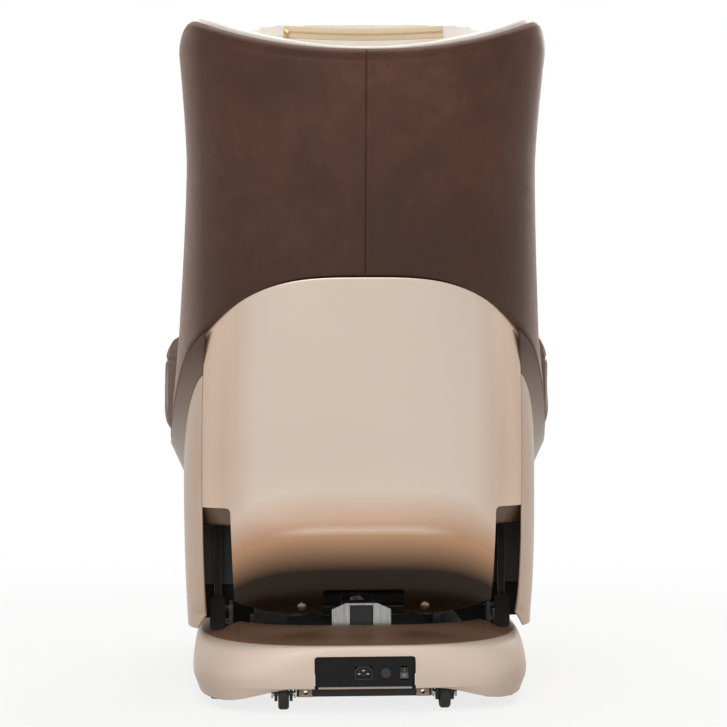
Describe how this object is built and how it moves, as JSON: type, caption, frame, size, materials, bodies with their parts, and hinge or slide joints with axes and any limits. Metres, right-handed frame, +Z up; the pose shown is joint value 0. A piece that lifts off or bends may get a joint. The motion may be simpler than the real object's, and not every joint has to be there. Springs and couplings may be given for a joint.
{
  "type": "reclining massage chair",
  "caption": "High-backed reclining spa massage chair on a low moulded base, with padded wings, armrests, channelled leg rest, sliding foot section and back massage carriage.",
  "frame": {"origin": "centre of the bounding box on the floor", "axes": "+Z up, +Y towards the rear of the chair, +X across it, to the sitter's left"},
  "size_m": [0.646, 1.1578, 1.0687],
  "materials": {
    "brown_leather": "satin",
    "cream_leather": "matte",
    "champagne": "gloss",
    "bronze": "satin",
    "black_steel": "satin",
    "bright_steel": "satin",
    "zinc_plate": "satin",
    "khaki_steel": "satin",
    "black_plastic": "matte",
    "switch_black": "gloss",
    "supply_case": "matte",
    "white_glide": "matte",
    "roller_amber": "satin",
    "black_rubber": "matte"
  },
  "bodies": {
    "base": {"base_shell": "champagne", "base_rails": "black_steel", "base_crossbars": "black_steel", "slide_rails": "bright_steel", "front_feet": "black_rubber", "corner_pads": "black_rubber", "frame_tabs": "khaki_steel", "caster_forks": "black_steel", "caster_axles": "bright_steel", "power_panel": "black_plastic", "panel_sill": "bronze", "mains_inlet": "black_plastic", "inlet_pins": "bright_steel", "fuse_holder": "black_plastic", "switch_bezel": "black_plastic", "power_supply": "supply_case", "drive_bracket": "zinc_plate", "drive_motor": "black_plastic", "drive_tube": "bright_steel", "link_brackets": "black_steel"},
    "slide": {"slide_frame": "black_steel", "glide_blocks": "white_glide", "tilt_pins": "bright_steel", "drive_rod": "bright_steel"},
    "body": {"seat_tub": "black_plastic", "tub_pins": "bright_steel", "chassis_plates": "black_steel", "back_frame": "black_steel", "massage_rails": "bright_steel", "rear_cover": "champagne", "cover_screws": "bright_steel", "back_shell": "brown_leather", "side_panel_left": "champagne", "side_panel_right": "champagne", "side_trim_left": "bronze", "side_trim_right": "bronze", "arm_pad_left": "brown_leather", "arm_pad_right": "brown_leather", "arm_cores": "black_plastic", "arm_liners": "cream_leather", "seat_cushion": "cream_leather", "back_pad": "cream_leather", "head_pillow": "cream_leather", "wing_pads": "cream_leather"},
    "link_left": {"link_left": "bright_steel"},
    "link_right": {"link_right": "bright_steel"},
    "legrest": {"legrest_shell": "champagne", "calf_pad": "cream_leather"},
    "foot": {"foot_shell": "champagne", "foot_pad": "cream_leather"},
    "carriage": {"massage_carriage": "black_plastic", "roller_arms": "black_plastic"},
    "roller_upper_left": {"roller_upper_left": "roller_amber"},
    "roller_upper_right": {"roller_upper_right": "roller_amber"},
    "roller_lower_left": {"roller_lower_left": "roller_amber"},
    "roller_lower_right": {"roller_lower_right": "roller_amber"},
    "wheel_left": {"caster_wheel_left": "black_rubber"},
    "wheel_right": {"caster_wheel_right": "black_rubber"},
    "rocker": {"power_switch": "switch_black"}
  },
  "joints": [
    {"name": "base_slide", "type": "slide", "parent": "base", "child": "slide", "axis": [0, -1, 0], "range_m": [0, 0.08]},
    {"name": "recline", "type": "hinge", "parent": "slide", "child": "body", "pos_m": [0, 0.23, 0.17], "axis": [-1, 0, 0], "range_deg": [0, 16]},
    {"name": "link_left_swing", "type": "hinge", "parent": "base", "child": "link_left", "pos_m": [0.234, 0.22, 0.145], "axis": [1, 0, 0], "range_deg": [0, 14.49]},
    {"name": "link_right_swing", "type": "hinge", "parent": "base", "child": "link_right", "pos_m": [-0.234, 0.22, 0.145], "axis": [1, 0, 0], "range_deg": [0, 14.49]},
    {"name": "legrest_raise", "type": "hinge", "parent": "body", "child": "legrest", "pos_m": [0, -0.342, 0.346], "axis": [-1, 0, 0], "range_deg": [0, 80]},
    {"name": "foot_extend", "type": "slide", "parent": "legrest", "child": "foot", "axis": [0, 0, -1], "range_m": [0, 0.11]},
    {"name": "massage_travel", "type": "slide", "parent": "body", "child": "carriage", "axis": [0, 0.225, 0.9744], "range_m": [0, 0.33]},
    {"name": "roller_upper_left_spin", "type": "hinge", "parent": "carriage", "child": "roller_upper_left", "pos_m": [0.062, 0.37273, 0.59093], "axis": [1, 0, 0], "continuous": true},
    {"name": "roller_upper_right_spin", "type": "hinge", "parent": "carriage", "child": "roller_upper_right", "pos_m": [-0.062, 0.37273, 0.59093], "axis": [1, 0, 0], "continuous": true},
    {"name": "roller_lower_left_spin", "type": "hinge", "parent": "carriage", "child": "roller_lower_left", "pos_m": [0.062, 0.35203, 0.50129], "axis": [1, 0, 0], "continuous": true},
    {"name": "roller_lower_right_spin", "type": "hinge", "parent": "carriage", "child": "roller_lower_right", "pos_m": [-0.062, 0.35203, 0.50129], "axis": [1, 0, 0], "continuous": true},
    {"name": "wheel_left_spin", "type": "hinge", "parent": "base", "child": "wheel_left", "pos_m": [0.128, 0.378, 0.025], "axis": [1, 0, 0], "continuous": true},
    {"name": "wheel_right_spin", "type": "hinge", "parent": "base", "child": "wheel_right", "pos_m": [-0.128, 0.378, 0.025], "axis": [1, 0, 0], "continuous": true},
    {"name": "rocker_tilt", "type": "hinge", "parent": "base", "child": "rocker", "pos_m": [-0.062, 0.407, 0.061], "axis": [1, 0, 0], "range_deg": [-9, 9]}
  ],
  "couplings": [
    {"joint": "base_slide", "follows": "recline", "m_per_rad": 0.28647},
    {"joint": "link_left_swing", "follows": "recline", "ratio": 0.9056},
    {"joint": "link_right_swing", "follows": "recline", "ratio": 0.9056},
    {"joint": "foot_extend", "follows": "legrest_raise", "m_per_rad": 0.07878}
  ]
}
